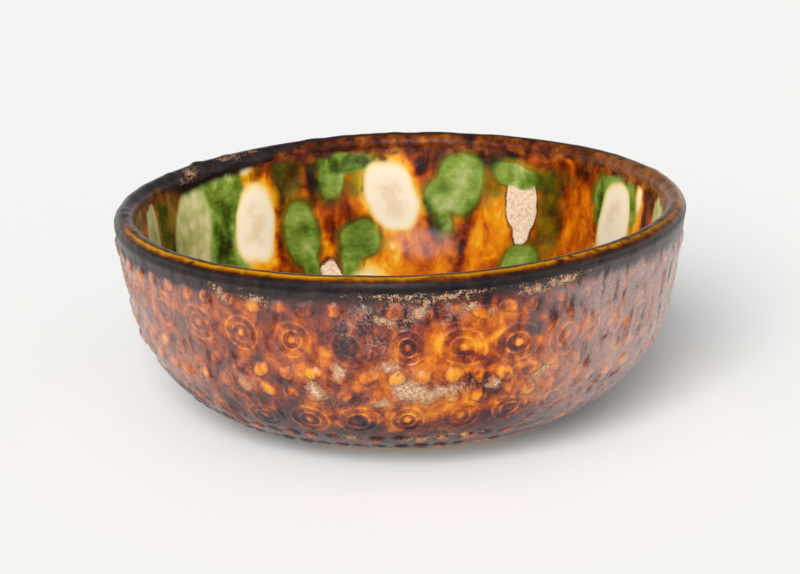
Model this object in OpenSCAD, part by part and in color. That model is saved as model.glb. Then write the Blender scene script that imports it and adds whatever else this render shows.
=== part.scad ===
// Moulded earthenware bowl: pale slip and splashed glaze inside, amber glaze outside,
// rows of round bosses and ringed roundels standing in relief on the outer wall.
// +Z is up, the ground foot stands on z = 0, the front faces -Y.

/* [Bowl] */
// Width over the glazed rim
rim_d = 112; // [108:1:116]
// Height of the rim crest above the middle of the foot, along the bowl's own axis
bowl_h = 43; // [41.5:0.1:44.5]
// Width of the ground foot
foot_d = 43; // [40:1:46]
// Height of the low foot disc at its middle
foot_rise = 0.7; // [0.6:0.1:1.2]
// How far the bowl leans to its left, in degrees
lean = 1.4; // [0:0.1:1.5]

/* [Section] */
// Slope of the underside where it leaves the foot, in degrees
under_slope = 7.4; // [6:0.1:9]
// Radius of the shallow curve beside the foot
under_r = 61.2; // [58:0.2:64]
// How far the shallow curve turns, in degrees
under_turn = 13.1; // [12:0.1:14]
// Radius of the tight curve between underside and wall
hip_r = 28.3; // [27:0.1:29.5]
// Radius of the long curve of the wall
wall_r = 160.5; // [150:0.5:170]
// Thickness of the clay wall
wall_t = 3.1; // [2.8:0.1:3.6]
// How much thicker the clay is at the middle of the floor
floor_extra = 0.5; // [0.2:0.1:0.9]

/* [Slip and glaze] */
// Thickness of the pale slip inside
slip_t = 0.2; // [0.15:0.05:0.3]
// Thickness of each glaze coat
glaze_t = 0.35; // [0.3:0.05:0.45]
// How far the thick rim glaze runs down from the crest
rim_run = 3.2; // [3:0.1:3.6]
// Arc length of bare clay between the foot and the outer glaze
bare_run = 7.5; // [7:0.1:8.5]

/* [Bosses] */
// Bosses in each row
boss_count = 64; // [56:2:64]
// Width of a boss where it meets the wall
boss_d = 3.2; // [2.8:0.05:3.25]
// Width of a boss in the two rows near the foot
base_boss_d = 2.9; // [2.6:0.05:3]
// How far a boss stands out
boss_h = 0.95; // [0.7:0.05:1.1]

/* [Roundels] */
// Roundels in each row
roundel_count = 32; // [28:1:32]
// Width of the upper roundels
upper_ring_d = 8.2; // [7.6:0.1:8.4]
// Width of the lower roundels
lower_ring_d = 7.6; // [7:0.1:7.8]
// Width of the inner ring as a share of the outer ring
inner_share = 0.58; // [0.5:0.01:0.65]
// Width of the centre dot
dot_d = 1.7; // [1.4:0.1:2]
// Width of each raised line
line_w = 0.5; // [0.4:0.05:0.6]
// How far the raised lines stand out
line_h = 0.4; // [0.3:0.05:0.5]

/* [Rows, as a share of the wall's arc length from foot to rim] */
// Single boss row under the rim
rim_boss_at = 0.921; // [0.915:0.001:0.925]
// Upper roundels
upper_roundel_at = 0.815; // [0.811:0.001:0.819]
// Upper row of the middle bosses
mid_upper_at = 0.705; // [0.7:0.001:0.707]
// Lower row of the middle bosses
mid_lower_at = 0.623; // [0.618:0.001:0.628]
// Lower roundels
lower_roundel_at = 0.505; // [0.5:0.001:0.51]
// Upper row of the base bosses
base_upper_at = 0.381; // [0.376:0.001:0.386]
// Lower row of the base bosses
base_lower_at = 0.291; // [0.286:0.001:0.296]
// Turn of the boss rows about the axis, in degrees
boss_turn = -1; // [-3:0.5:3]
// Turn of the roundel rows about the axis, in degrees
roundel_turn = 1.2; // [-3:0.1:3]

/* [Hidden] */
$fn = 256;
boss_fn = 72;
// material of the foot below the table plane, ground off flat once the bowl leans
foot_pad = 1;
// inward overlap that joins an arc to the body of its section
join = 1;
// reach of the shapes that trim a section
far = 400;
// depth of the raw rings and dots before the wall trims them
trim_depth = 2;
// cones in the chain that the relief stands on
seat_steps = 60;
glaze_outer = glaze_t;
glaze_inner = slip_t + glaze_t;
crest_r = (wall_t + glaze_outer + glaze_inner) / 2;
wall_mid_r = wall_r + glaze_outer - crest_r;
slope_hip = under_slope + under_turn;
arc_deg = 180 / PI;

function dir(a) = [sin(a), -cos(a)];
function on(c, r, a) = c + r * dir(a);

under_c = [foot_d / 2, foot_rise] - under_r * dir(under_slope);
hip_c = on(under_c, under_r - hip_r, slope_hip);

function wall_c_for(turn) = on(hip_c, hip_r - wall_r, slope_hip + turn);
function top_slope_for(turn) = acos((wall_c_for(turn)[1] - bowl_h + crest_r) / wall_mid_r);
function rim_r_for(turn) = on(wall_c_for(turn), wall_mid_r, top_slope_for(turn))[0] + crest_r;
function solve_turn(low, high, steps) =
    steps == 0 ? (low + high) / 2
    : rim_r_for((low + high) / 2) > rim_d / 2 ? solve_turn((low + high) / 2, high, steps - 1)
    : solve_turn(low, (low + high) / 2, steps - 1);

hip_turn = solve_turn(46, 66, 40);
slope_wall = slope_hip + hip_turn;
wall_c = wall_c_for(hip_turn);
slope_top = top_slope_for(hip_turn);
slope_rim = slope_top - rim_run * arc_deg / wall_r;

// inside faces run at the wall thickness, the floor is one shallow curve that meets them
floor_z = foot_rise + wall_t + floor_extra;
hip_in = hip_r - wall_t;
wall_in = wall_r - wall_t;
floor_drop = floor_z - hip_c[1];
floor_r = (pow(hip_in, 2) - pow(hip_c[0], 2) - pow(floor_drop, 2)) / (2 * (floor_drop + hip_in));
floor_c = [0, floor_z + floor_r];
slope_floor = asin(hip_c[0] / (floor_r - hip_in));

under_len = under_r * under_turn / arc_deg;
hip_len = hip_r * hip_turn / arc_deg;
wall_len = wall_r * (slope_top - slope_wall) / arc_deg;
whole_len = under_len + hip_len + wall_len;
slope_bare = under_slope + bare_run * arc_deg / under_r;

function slope_at(s) =
    s < under_len ? under_slope + s * arc_deg / under_r
    : s < under_len + hip_len ? slope_hip + (s - under_len) * arc_deg / hip_r
    : slope_wall + (s - under_len - hip_len) * arc_deg / wall_r;
function arc_c_at(s) = s < under_len ? under_c : s < under_len + hip_len ? hip_c : wall_c;
function arc_r_at(s) = s < under_len ? under_r : s < under_len + hip_len ? hip_r : wall_r;
function wall_point(s, out) = on(arc_c_at(s), arc_r_at(s) + out, slope_at(s));

// circular segment outside the chord between two slopes of one arc
module arc_piece(c, r, from, to) {
    mid = dir((from + to) / 2);
    intersection() {
        translate(c) circle(r = r);
        polygon([
            on(c, r, from) - join * mid,
            on(c, r, to) - join * mid,
            on(c, r, to) + r * mid,
            on(c, r, from) + r * mid
        ]);
    }
}

// everything inside the outer face moved out by the given amount
module outer_fill(out) {
    union() {
        polygon([
            [0, -foot_pad],
            [foot_d / 2, -foot_pad],
            on(under_c, under_r + out, under_slope),
            on(under_c, under_r + out, slope_hip),
            on(hip_c, hip_r + out, slope_wall),
            on(wall_c, wall_r + out, slope_top),
            on(wall_c, wall_in, slope_top),
            [0, floor_z + wall_t]
        ]);
        arc_piece(under_c, under_r + out, under_slope, slope_hip);
        arc_piece(hip_c, hip_r + out, slope_hip, slope_wall);
        arc_piece(wall_c, wall_r + out, slope_wall, slope_top);
    }
}

// the hollow of the bowl with its faces moved in by the given amount
module hollow_fill(coat) {
    union() {
        polygon([
            [0, floor_z + coat],
            on(floor_c, floor_r - coat, slope_floor),
            on(hip_c, hip_in - coat, slope_wall),
            on(wall_c, wall_in - coat, slope_top),
            [on(wall_c, wall_in - coat, slope_top)[0], bowl_h + wall_t],
            [0, bowl_h + wall_t]
        ]);
        intersection() {
            arc_piece(floor_c, floor_r - coat, -slope_floor, slope_floor);
            translate([0, -far / 2]) square([far, far]);
        }
        arc_piece(hip_c, hip_in - coat, slope_floor, slope_wall);
        arc_piece(wall_c, wall_in - coat, slope_wall, slope_top);
    }
}

module clay_section() {
    union() {
        difference() {
            outer_fill(0);
            hollow_fill(0);
        }
        translate(on(wall_c, wall_r - wall_t / 2, slope_top)) circle(d = wall_t);
    }
}

module glazed_section() {
    union() {
        difference() {
            outer_fill(glaze_outer);
            hollow_fill(glaze_inner);
        }
        translate(on(wall_c, wall_mid_r, slope_top)) circle(r = crest_r);
    }
}

// part of the section on the foot side of the line where the rim glaze ends
module below_rim() {
    polygon([
        wall_c,
        on(wall_c, far, slope_rim - 110),
        on(wall_c, far, slope_rim - 55),
        on(wall_c, far, slope_rim)
    ]);
}

// part of the section on the wall side of the line where the outer glaze starts
module above_bare() {
    polygon([
        under_c,
        on(under_c, far, slope_bare),
        on(under_c, far, slope_bare + 60),
        on(under_c, far, slope_bare + 120)
    ]);
}

module inner_coat(from, to) {
    intersection() {
        difference() {
            hollow_fill(from);
            hollow_fill(to);
        }
        below_rim();
    }
}

module outer_coat(from, to) {
    intersection() {
        difference() {
            outer_fill(to);
            outer_fill(from);
        }
        below_rim();
        above_bare();
    }
}

// the bowl leans about its foot, with the rim kept centred over the origin
module leaned() {
    translate([bowl_h * sin(lean), 0, 0]) rotate([0, -lean, 0]) children();
}

// what the relief stands on: the glazed wall as a chain of short cones, filled to the axis
module relief_seat() {
    rotate_extrude() polygon([
        [0, 0],
        for (i = [0 : seat_steps]) wall_point(i * whole_len / seat_steps, glaze_outer),
        [0, bowl_h]
    ]);
}

module boss_row(at, wide) {
    ball_r = (pow(wide / 2, 2) + pow(boss_h, 2)) / (2 * boss_h);
    centre = wall_point(at * whole_len, glaze_outer + boss_h - ball_r);
    difference() {
        union() {
            for (i = [0 : boss_count - 1]) {
                rotate([0, 0, boss_turn + i * 360 / boss_count])
                    translate([0, -centre[0], centre[1]])
                        sphere(r = ball_r, $fn = boss_fn);
            }
        }
        relief_seat();
    }
}

module raised_ring(wide) {
    difference() {
        cylinder(d = wide, h = trim_depth);
        translate([0, 0, -trim_depth]) cylinder(d = wide - 2 * line_w, h = 3 * trim_depth);
    }
}

module roundel_row(at, wide) {
    seat = wall_point(at * whole_len, glaze_outer + line_h - trim_depth);
    difference() {
        union() {
            for (i = [0 : roundel_count - 1]) {
                rotate([0, 0, roundel_turn + i * 360 / roundel_count])
                    translate([0, -seat[0], seat[1]])
                        rotate([180 - slope_at(at * whole_len), 0, 0]) {
                            raised_ring(wide);
                            raised_ring(wide * inner_share);
                            cylinder(d = dot_d, h = trim_depth, $fn = boss_fn);
                        }
            }
        }
        relief_seat();
    }
}

module clay_body() {
    color("#c9a07c") difference() {
        leaned() rotate_extrude() clay_section();
        translate([-rim_d, -rim_d, -bowl_h]) cube([2 * rim_d, 2 * rim_d, bowl_h]);
    }
}

module slip_coat() {
    color("#efe6d2") leaned() rotate_extrude() inner_coat(0, slip_t);
}

module inner_glaze() {
    color("#7f9a4a") leaned() rotate_extrude() inner_coat(slip_t, glaze_inner);
}

module rim_glaze() {
    color("#b8741f") leaned() rotate_extrude() difference() {
        glazed_section();
        below_rim();
        clay_section();
    }
}

module outer_glaze() {
    color("#8a3d14") leaned() rotate_extrude() outer_coat(0, glaze_outer);
}

module rim_boss_row() {
    color("#c4621c") leaned() boss_row(rim_boss_at, boss_d);
}

module upper_roundels() {
    color("#c47a2c") leaned() roundel_row(upper_roundel_at, upper_ring_d);
}

module middle_boss_row_upper() {
    color("#c4621c") leaned() boss_row(mid_upper_at, boss_d);
}

module middle_boss_row_lower() {
    color("#b85a18") leaned() boss_row(mid_lower_at, boss_d);
}

module lower_roundels() {
    color("#c47a2c") leaned() roundel_row(lower_roundel_at, lower_ring_d);
}

module base_boss_row_upper() {
    color("#b85a18") leaned() boss_row(base_upper_at, base_boss_d);
}

module base_boss_row_lower() {
    color("#a84f16") leaned() boss_row(base_lower_at, base_boss_d);
}

clay_body();
slip_coat();
inner_glaze();
rim_glaze();
outer_glaze();
rim_boss_row();
upper_roundels();
middle_boss_row_upper();
middle_boss_row_lower();
lower_roundels();
base_boss_row_upper();
base_boss_row_lower();
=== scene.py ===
# %% [markdown]
# # A moulded earthenware bowl under splashed lead glaze
# The real bowl is one fired wall. It was pressed in a mould that held the round bosses and ringed
# roundels, coated inside with pale slip, and then glazed: green, amber and cream inside, amber outside.
# Each of those layers is its own piece here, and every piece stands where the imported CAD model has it.

# %% Load the frame
import math
import random

import bpy
import numpy as np
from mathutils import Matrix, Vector, noise


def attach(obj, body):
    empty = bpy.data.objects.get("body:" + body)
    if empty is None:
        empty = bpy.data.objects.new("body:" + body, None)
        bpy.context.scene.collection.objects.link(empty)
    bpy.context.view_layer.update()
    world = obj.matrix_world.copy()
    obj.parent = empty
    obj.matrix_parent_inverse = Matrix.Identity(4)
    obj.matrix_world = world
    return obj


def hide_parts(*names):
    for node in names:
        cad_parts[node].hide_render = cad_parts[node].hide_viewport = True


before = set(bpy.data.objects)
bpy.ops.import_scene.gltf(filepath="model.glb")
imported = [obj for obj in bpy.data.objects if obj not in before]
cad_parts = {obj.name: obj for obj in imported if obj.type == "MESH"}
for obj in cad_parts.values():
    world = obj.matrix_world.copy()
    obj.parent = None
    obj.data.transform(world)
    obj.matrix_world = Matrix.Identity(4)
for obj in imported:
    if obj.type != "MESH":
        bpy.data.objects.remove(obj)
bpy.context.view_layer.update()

MM = 0.001
print("CAD nodes:", sorted(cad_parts))

# %% [markdown]
# The wall's section is a chain of three arcs: a shallow one beside the foot, a tight one at the hip and a
# long one up the wall. A potter would cut such a curve as a template. The same few sizes that drive the
# CAD model are written here again in millimetres, and everything else follows from them.

# %% Driving sizes of the section
rim_d = 112
bowl_h = 43
foot_d = 43
foot_rise = 0.7
lean = 1.4
under_slope = 7.4
under_r = 61.2
under_turn = 13.1
hip_r = 28.3
wall_r = 160.5
wall_t = 3.1
floor_extra = 0.5
slip_t = 0.2
glaze_t = 0.35
rim_run = 3.2
bare_run = 7.5

glaze_outer = glaze_t
glaze_inner = slip_t + glaze_t
crest_r = (wall_t + glaze_outer + glaze_inner) / 2
wall_mid_r = wall_r + glaze_outer - crest_r


# %% Solve the section
def on_arc(centre, radius, slope):
    """The point of an arc where its tangent has this slope, in degrees."""
    angle = math.radians(slope)
    return (centre[0] + radius * math.sin(angle), centre[1] - radius * math.cos(angle))


def arc_length(radius, degrees):
    return radius * math.radians(degrees)


slope_hip = under_slope + under_turn
under_c = on_arc((foot_d / 2, foot_rise), -under_r, under_slope)
hip_c = on_arc(under_c, under_r - hip_r, slope_hip)


def wall_for(turn):
    """The wall arc's centre and the slope at its top, for a given turn of the hip."""
    centre = on_arc(hip_c, hip_r - wall_r, slope_hip + turn)
    top = math.degrees(math.acos((centre[1] - bowl_h + crest_r) / wall_mid_r))
    return centre, top


low_turn, high_turn = 46.0, 66.0
for _ in range(40):
    hip_turn = (low_turn + high_turn) / 2
    wall_c, slope_top = wall_for(hip_turn)
    if on_arc(wall_c, wall_mid_r, slope_top)[0] + crest_r > rim_d / 2:
        low_turn = hip_turn
    else:
        high_turn = hip_turn

slope_wall = slope_hip + hip_turn
slope_rim = slope_top - math.degrees(rim_run / wall_r)
floor_z = foot_rise + wall_t + floor_extra
hip_in = hip_r - wall_t
wall_in = wall_r - wall_t
floor_drop = floor_z - hip_c[1]
floor_r = (hip_in**2 - hip_c[0] ** 2 - floor_drop**2) / (2 * (floor_drop + hip_in))
floor_c = (0, floor_z + floor_r)
slope_floor = math.degrees(math.asin(hip_c[0] / (floor_r - hip_in)))

under_len = arc_length(under_r, under_turn)
hip_len = arc_length(hip_r, hip_turn)
wall_len = arc_length(wall_r, slope_top - slope_wall)
whole_len = under_len + hip_len + wall_len
rim_at = whole_len - rim_run
floor_len = arc_length(floor_r, slope_floor)
hip_in_len = arc_length(hip_in, slope_wall - slope_floor)
wall_in_len = arc_length(wall_in, slope_top - slope_wall)
inside_len = floor_len + hip_in_len + wall_in_len
inside_rim_at = inside_len - rim_run
crest_c = on_arc(wall_c, wall_mid_r, slope_top)
print(f"outer face {whole_len:.2f} mm long, inner face {inside_len:.2f} mm, hip turns {hip_turn:.2f} degrees")

# %% [markdown]
# Two rulers run along the wall. Outside, s counts millimetres up from the foot. Inside, t counts them out
# from the middle of the floor. With an angle round the axis, 0 at the front and growing to the right,
# they place every boss and every splash of glaze.


# %% Points by arc length
def outside_points(s, out):
    """Radius and height of points at arc length s, moved out from the clay by out. Takes arrays."""
    s, out = np.broadcast_arrays(np.asarray(s, float), np.asarray(out, float))
    under = s < under_len
    hip = ~under & (s < under_len + hip_len)
    slope = np.where(
        under,
        math.radians(under_slope) + s / under_r,
        np.where(
            hip,
            math.radians(slope_hip) + (s - under_len) / hip_r,
            math.radians(slope_wall) + (s - under_len - hip_len) / wall_r,
        ),
    )
    radius = np.where(under, under_r, np.where(hip, hip_r, wall_r)) + out
    centre_r = np.where(under, under_c[0], np.where(hip, hip_c[0], wall_c[0]))
    centre_z = np.where(under, under_c[1], np.where(hip, hip_c[1], wall_c[1]))
    return centre_r + radius * np.sin(slope), centre_z - radius * np.cos(slope)


def inside_points(t, coat):
    """Radius and height of points at arc length t from the floor's middle, under this much coat."""
    t, coat = np.broadcast_arrays(np.asarray(t, float), np.asarray(coat, float))
    floor = t < floor_len
    hip = ~floor & (t < floor_len + hip_in_len)
    slope = np.where(
        floor,
        t / floor_r,
        np.where(
            hip,
            math.radians(slope_floor) + (t - floor_len) / hip_in,
            math.radians(slope_wall) + (t - floor_len - hip_in_len) / wall_in,
        ),
    )
    radius = np.where(floor, floor_r, np.where(hip, hip_in, wall_in)) - coat
    centre_r = np.where(floor, floor_c[0], np.where(hip, hip_c[0], wall_c[0]))
    centre_z = np.where(floor, floor_c[1], np.where(hip, hip_c[1], wall_c[1]))
    return centre_r + radius * np.sin(slope), centre_z - radius * np.cos(slope)


def outline_outside(start, end, count, out):
    s = np.linspace(start, end, count)
    return list(zip(*outside_points(s, out)))


def outline_inside(start, end, count, coat):
    t = np.linspace(start, end, count)
    return list(zip(*inside_points(t, coat)))


def outline_round(centre, radius, count):
    """Half a circle over the rim, from the outer face to the inner one."""
    turns = np.linspace(slope_top, slope_top + 180, count)
    return [on_arc(centre, radius, turn) for turn in turns]


ruler_s = np.linspace(0, whole_len, 600)
ruler_s_sum = np.add(*outside_points(ruler_s, glaze_outer))
ruler_t = np.linspace(0, inside_len, 600)
ruler_t_sum = np.add(*inside_points(ruler_t, glaze_inner))
ruler_t_height = inside_points(ruler_t, glaze_inner)[1]
print(f"t at 20 mm height: {np.interp(20, ruler_t_height, ruler_t):.2f} mm")

# %% [markdown]
# A pressed bowl is never quite true. This one leans to the left, its rim dips at the left and at the back
# left and rises at the right, and the wall has slow swells. One function moves every point of every
# layer the same way, so that the layers stay on each other.

# %% The hand-made shape
rim_rise = [(-180, 0.2), (-120, -0.6), (-55, -0.45), (0, 0.0), (50, 0.45), (110, 0.1), (180, 0.2)]
swell = 0.12


def smooth_step(x, low, high):
    x = np.clip((x - low) / (high - low), 0, 1)
    return x * x * (3 - 2 * x)


def round_the_rim(theta, stations):
    """A smooth value round the bowl, from a few (angle, value) stations that run from -180 to 180."""
    value = np.full(np.shape(theta), float(stations[0][1]))
    for (start, before), (end, after) in zip(stations, stations[1:]):
        inside = (theta >= start) & (theta <= end)
        step = smooth_step(theta, start, end)
        value = np.where(inside, before + (after - before) * step, value)
    return value


def hand_shape(theta, radius, height):
    climb = smooth_step(height, 0.25 * bowl_h, bowl_h)
    angle = np.radians(theta)
    slow = np.sin(2 * angle + 0.6) + 0.6 * np.sin(3 * angle + 2.1) + 0.3 * np.sin(5 * angle + 0.4)
    side = smooth_step(height, 0.1 * bowl_h, 0.6 * bowl_h)
    return radius + swell * slow * side, height + round_the_rim(theta, rim_rise) * climb


# %% Helpers for pieces
def read_points(piece):
    points = np.empty(len(piece.data.vertices) * 3)
    piece.data.vertices.foreach_get("co", points)
    return points.reshape(-1, 3) / MM


def write_points(piece, points):
    piece.data.vertices.foreach_set("co", (np.asarray(points) * MM).ravel())
    piece.data.update()


def polar(points):
    """Angle in degrees from the front towards the right, radius and height."""
    theta = np.degrees(np.arctan2(points[:, 0], -points[:, 1]))
    return theta, np.hypot(points[:, 0], points[:, 1]), points[:, 2]


def from_polar(theta, radius, height):
    angle = np.radians(theta)
    return np.column_stack([radius * np.sin(angle), -radius * np.cos(angle), height])


def write_field(piece, name, values):
    field = piece.data.attributes.new(name, "FLOAT", "POINT")
    field.data.foreach_set("value", np.asarray(values, np.float32))


def work_on(piece):
    bpy.ops.object.select_all(action="DESELECT")
    piece.select_set(True)
    bpy.context.view_layer.objects.active = piece


def lumps(points, size, seed):
    """Smooth noise from -1 to 1 at each point, with lumps of this size in millimetres."""
    shift = Vector((seed * 17.3, seed * 5.1, seed * 9.7))
    return np.array([noise.noise(Vector(p) / size + shift) for p in points])


def set_leaning(piece):
    """Shapes the upright piece by hand, leans it about its foot and applies the lean."""
    theta, radius, height = polar(read_points(piece))
    write_points(piece, from_polar(theta, *hand_shape(theta, radius, height)))
    work_on(piece)
    piece.rotation_euler = (0, -math.radians(lean), 0)
    piece.location = (bowl_h * math.sin(math.radians(lean)) * MM, 0, 0)
    bpy.ops.object.transform_apply(location=True, rotation=True, scale=True)


def finish_piece(piece, nodes, material):
    piece.data.materials.clear()
    piece.data.materials.append(material)
    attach(piece, "root")
    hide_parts(*nodes)
    print(f"{piece.name}: {len(piece.data.vertices)} points, {len(piece.data.polygons)} faces")


# %% [markdown]
# ## Pieces turned about the axis
# A wheel makes a round form from one edge. Blender's Spin does the same: an outline is drawn in the XZ
# plane by extruding a single point from corner to corner, and then swept round Z. The doubled points
# at the seam and at the axis are merged before the faces are turned outwards.


# %% Spin an outline
def spun_piece(name, outline, steps):
    bpy.ops.object.select_all(action="DESELECT")
    bpy.ops.mesh.primitive_plane_add(size=MM)
    piece = bpy.context.object
    piece.name = name
    bpy.ops.object.mode_set(mode="EDIT")
    bpy.ops.mesh.select_all(action="SELECT")
    bpy.ops.mesh.merge(type="CENTER")
    bpy.ops.transform.translate(value=(outline[0][0] * MM, 0, outline[0][1] * MM))
    for (r0, z0), (r1, z1) in zip(outline, outline[1:]):
        step = ((r1 - r0) * MM, 0, (z1 - z0) * MM)
        bpy.ops.mesh.extrude_region_move(TRANSFORM_OT_translate={"value": step})
    bpy.ops.mesh.select_all(action="SELECT")
    bpy.ops.mesh.spin(steps=steps, angle=math.tau, center=(0, 0, 0), axis=(0, 0, 1))
    bpy.ops.mesh.select_all(action="SELECT")
    bpy.ops.mesh.remove_doubles(threshold=0.0005 * MM)
    bpy.ops.mesh.normals_make_consistent(inside=False)
    bpy.ops.object.mode_set(mode="OBJECT")
    bpy.ops.object.shade_smooth()
    return piece


# %% [markdown]
# The fired clay is the bowl itself: floor, wall, rounded lip and a low foot. Most of it is under glaze, and
# only the underside shows it bare. It is spun a millimetre too deep at the foot, leaned, and then cut
# off level, as the real foot was rubbed flat on a stone.

# %% The clay body
foot_pad = 1.0
clay_outline = (
    [(0, -foot_pad), (foot_d / 2, -foot_pad)]
    + outline_outside(0, whole_len, 60, 0)
    + outline_round(on_arc(wall_c, wall_r - wall_t / 2, slope_top), wall_t / 2, 12)[1:-1]
    + outline_inside(inside_len, 0, 60, 0)
)
clay_body = spun_piece("fired_clay_body", clay_outline, 256)
set_leaning(clay_body)
bpy.ops.object.mode_set(mode="EDIT")
bpy.ops.mesh.select_all(action="SELECT")
bpy.ops.mesh.bisect(plane_co=(0, 0, 0), plane_no=(0, 0, 1), use_fill=True, clear_inner=True)
bpy.ops.object.mode_set(mode="OBJECT")
bpy.ops.object.shade_smooth_by_angle(angle=math.radians(35))
print(f"clay body stands at z = {read_points(clay_body)[:, 2].min():.3f} mm")

# %% [markdown]
# ## Where the glaze does what
# Outside, the amber glaze burned orange where it is thin, ran dark where it pooled, lost its shine in
# patches and took up a tan crust in the ground. Each effect is a field on the surface: a short list
# of soft spots, given by angle, height along the wall and size, from which every outside piece reads
# its own values. So a patch runs on across skin, boss and rim without a seam. One more field, by angle
# round the bowl, says where a pale sheen is painted onto the flanks: a painted reflection of the room.

# %% Fields of the outside
# each spot: angle in degrees, arc length s, half width, half height in millimetres, tilt in degrees
crust_spots = [
    (-2.6, 52.5, 2.1, 0.75, 0),
    (3.4, 54.4, 3.0, 0.6, 38),
    (9.5, 57.3, 4.8, 0.5, 8),
    (1.0, 57.6, 3.2, 0.35, 0),
    (13.2, 54.7, 1.2, 0.9, 0),
    (18.2, 53.8, 1.1, 0.6, 35),
    (-12.6, 42.4, 1.5, 1.4, 0),
    (-2.4, 43.3, 2.0, 1.1, 10),
    (1.6, 38.2, 3.1, 2.4, -10),
    (8.4, 37.6, 4.6, 1.3, 12),
    (19.0, 38.5, 1.4, 1.3, 0),
    (-4.4, 34.9, 2.3, 1.1, 0),
    (-17.6, 37.4, 2.6, 1.2, -45),
    (29.4, 39.2, 2.6, 1.2, 50),
    (33.0, 57.2, 3.2, 0.9, 5),
    (26.5, 56.4, 2.2, 0.8, 0),
    (-36.6, 56.1, 2.0, 0.7, -25),
    (-28.3, 55.9, 1.3, 0.35, -15),
    (-13.0, 23.4, 1.7, 0.9, 0),
    (6.0, 22.9, 4.5, 0.5, 5),
    (14.0, 23.6, 2.5, 0.5, 0),
]
# each glow: angle in degrees, arc length s, reach in millimetres, strength
worn_glows = [
    (-6.6, 54.6, 3.0, 1.0),
    (9.5, 53.4, 2.4, 1.0),
    (-4.5, 47.5, 2.4, 0.9),
    (-10.0, 51.5, 3.0, 0.6),
    (2.0, 54.5, 3.0, 0.7),
    (42.4, 51.8, 4.5, 0.8),
    (54.8, 53.0, 6.0, 0.9),
    (48.5, 41.0, 3.5, 0.8),
    (60.0, 44.0, 6.0, 0.6),
    (36.4, 33.4, 5.0, 0.7),
    (-34.3, 38.6, 3.0, 0.8),
    (-13.0, 35.8, 2.0, 0.6),
    (3.0, 38.0, 5.0, 0.6),
    (-72.0, 40.0, 6.0, 0.5),
]
ember_glows = [
    (11.5, 48.0, 7.0, 0.9),
    (0.0, 48.2, 3.0, 0.6),
    (-5.9, 41.2, 4.5, 1.0),
    (19.5, 49.8, 5.0, 0.7),
    (5.7, 44.8, 5.0, 0.7),
    (24.0, 43.0, 7.0, 0.6),
    (30.0, 36.0, 7.0, 0.4),
    (0.0, 32.5, 8.0, 0.8),
    (-15.0, 33.0, 5.0, 0.8),
    (13.0, 32.0, 6.0, 0.7),
    (-24.0, 43.0, 5.0, 0.4),
    (-17.0, 49.0, 4.0, 0.4),
]
hidden_span = (80, 285)
hidden = random.Random(5)
for _ in range(34):
    angle = hidden.uniform(*hidden_span)
    crust_spots.append((angle, hidden.uniform(20, 57), hidden.uniform(1, 3), hidden.uniform(0.4, 1.6), hidden.uniform(-60, 60)))
for _ in range(22):
    worn_glows.append((hidden.uniform(*hidden_span), hidden.uniform(22, 56), hidden.uniform(2, 6), 0.7))
    ember_glows.append((hidden.uniform(*hidden_span), hidden.uniform(16, 52), hidden.uniform(4, 9), 0.7))
far_off = 4.0
band_edge = [
    (-180, 55.9), (-80, 55.3), (-50, 55.8), (-20, 56.5), (0, 56.7), (30, 56.7), (50, 56.3), (80, 55.6), (180, 55.9),
]
# Painted sheen: how strongly a pale reflection of the bright room is painted onto the flanks, by angle round the bowl
painted_sheen_round = [
    (-180, 0.3), (-100, 0.7), (-72, 0.5), (-55, 0.3), (-30, 0.1), (15, 0.0), (50, 0.55), (90, 1.0),
    (150, 0.3), (180, 0.3),
]


def across(theta, centre, radius):
    """Distance round the wall from an angle, in millimetres, going the short way."""
    return np.radians((theta - centre + 180) % 360 - 180) * radius


def spot_distance(spots, theta, along, radius):
    """Distance to the nearest edge of any oval spot, in millimetres, below zero inside."""
    nearest = np.full(np.shape(theta), far_off)
    for centre, middle, half_wide, half_high, tilt in spots:
        right = across(theta, centre, radius)
        up = along - middle
        cos, sin = math.cos(math.radians(tilt)), math.sin(math.radians(tilt))
        u, v = (right * cos + up * sin) / half_wide, (up * cos - right * sin) / half_high
        oval = (np.sqrt(u * u + v * v) - 1) * min(half_wide, half_high)
        nearest = np.minimum(nearest, oval)
    return nearest


def glow_sum(glows, theta, along, radius):
    total = np.zeros(np.shape(theta))
    for centre, middle, reach, strength in glows:
        away = np.hypot(across(theta, centre, radius), along - middle) / reach
        total = np.maximum(total, strength * np.exp(-away * away))
    return total


def write_outside_fields(piece, theta, s, radius):
    write_field(piece, "crust", spot_distance(crust_spots, theta, s, radius))
    write_field(piece, "worn", glow_sum(worn_glows, theta, s, radius))
    write_field(piece, "ember", glow_sum(ember_glows, theta, s, radius))
    write_field(piece, "band", np.clip(s - round_the_rim(theta, band_edge), -far_off, far_off))
    # painted sheen on the flanks, by angle round the bowl
    write_field(piece, "painted_sheen", round_the_rim(theta, painted_sheen_round))


# %% [markdown]
# The amber coat outside is a skin about a third of a millimetre thick. It is spun with a hidden inner face
# inside the clay, so that it is a closed solid, and gets the faint unevenness of glaze that flowed.

# %% The outer glaze
sunk = 0.12
skin_wave = 0.035


def outside_ripple(theta, s):
    """How far the outer glaze stands over or under its mean face."""
    radius, height = outside_points(s, glaze_outer)
    return skin_wave * lumps(from_polar(theta, radius, height), 2.6, 1)


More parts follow.
